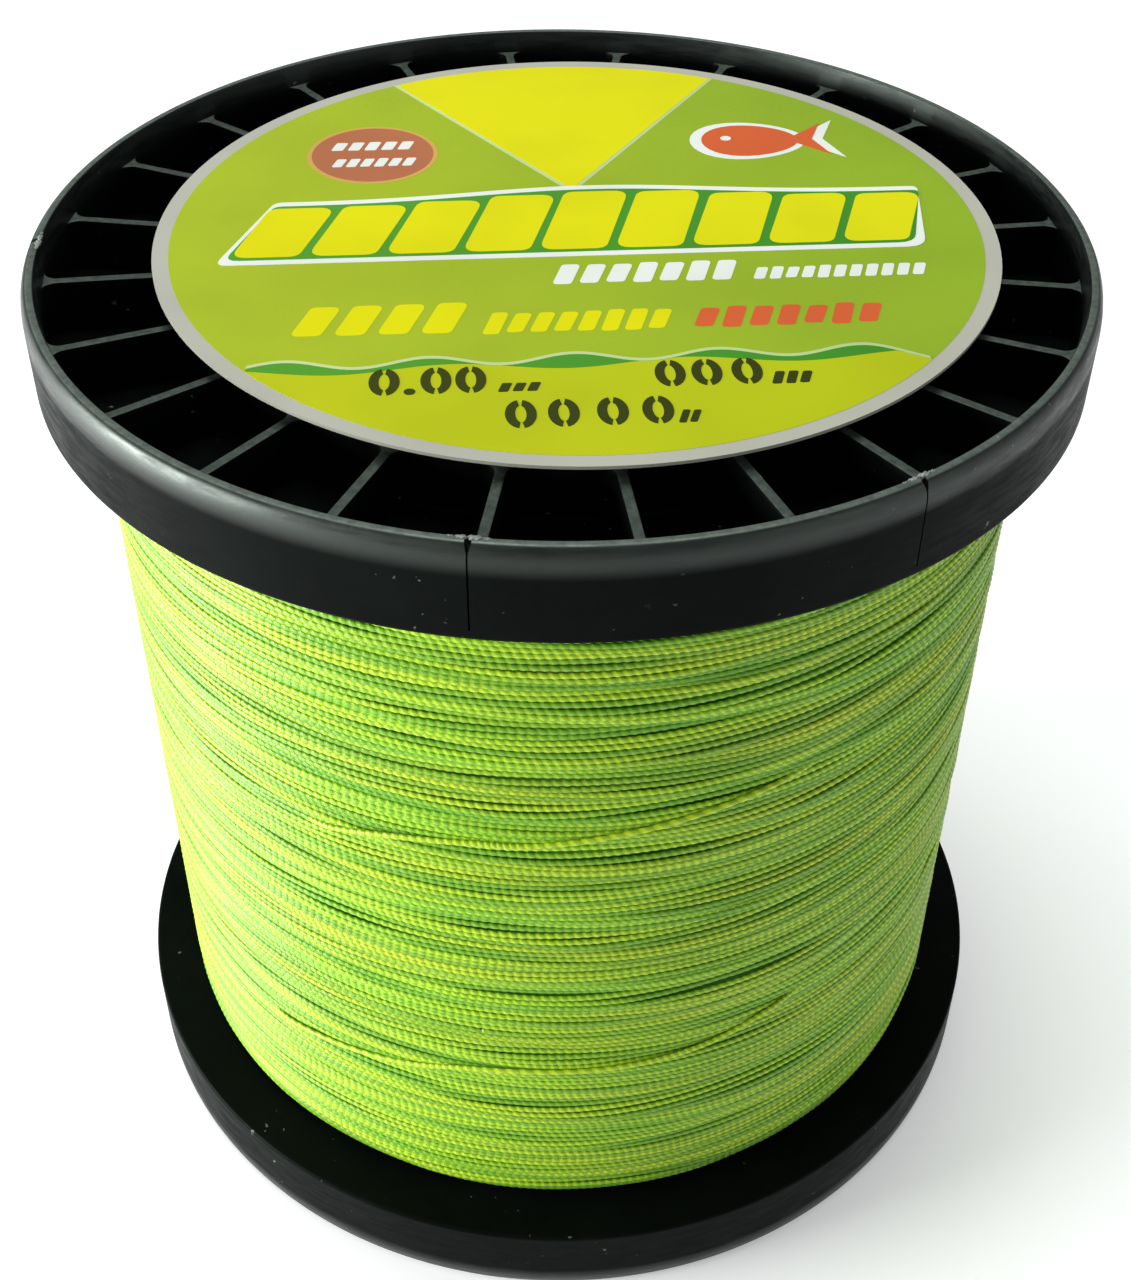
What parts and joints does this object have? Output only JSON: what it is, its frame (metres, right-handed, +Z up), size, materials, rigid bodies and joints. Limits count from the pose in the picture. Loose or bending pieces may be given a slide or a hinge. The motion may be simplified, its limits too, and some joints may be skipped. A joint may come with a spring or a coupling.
{
  "type": "fishing line spool",
  "caption": "Large flanged bulk spool of lime green braided fishing line, with black ribbed flanges and a round printed label on its upper hub.",
  "frame": {"origin": "centre of the lower flange's rim face, which the spool stands on", "axes": "+Z up along the spindle axis towards the labelled flange, -Y towards the side that the label reads from, +X to the label's right"},
  "size_m": [0.1, 0.1, 0.0997],
  "materials": {
    "flange_plastic": "black moulded plastic with a satin rim and light scuffs",
    "core_plastic": "dark grey moulded plastic",
    "braided_line": "lime green eight-strand braid, waxy sheen",
    "label_print": "printed green and yellow sticker with a satin varnish",
    "tape": "cream adhesive tape"
  },
  "bodies": {
    "root": {"upper_flange": "flange_plastic", "lower_flange": "flange_plastic", "core_tube": "core_plastic", "start_tape": "tape", "line_pack": "braided_line", "upper_label": "label_print"}
  },
  "joints": []
}
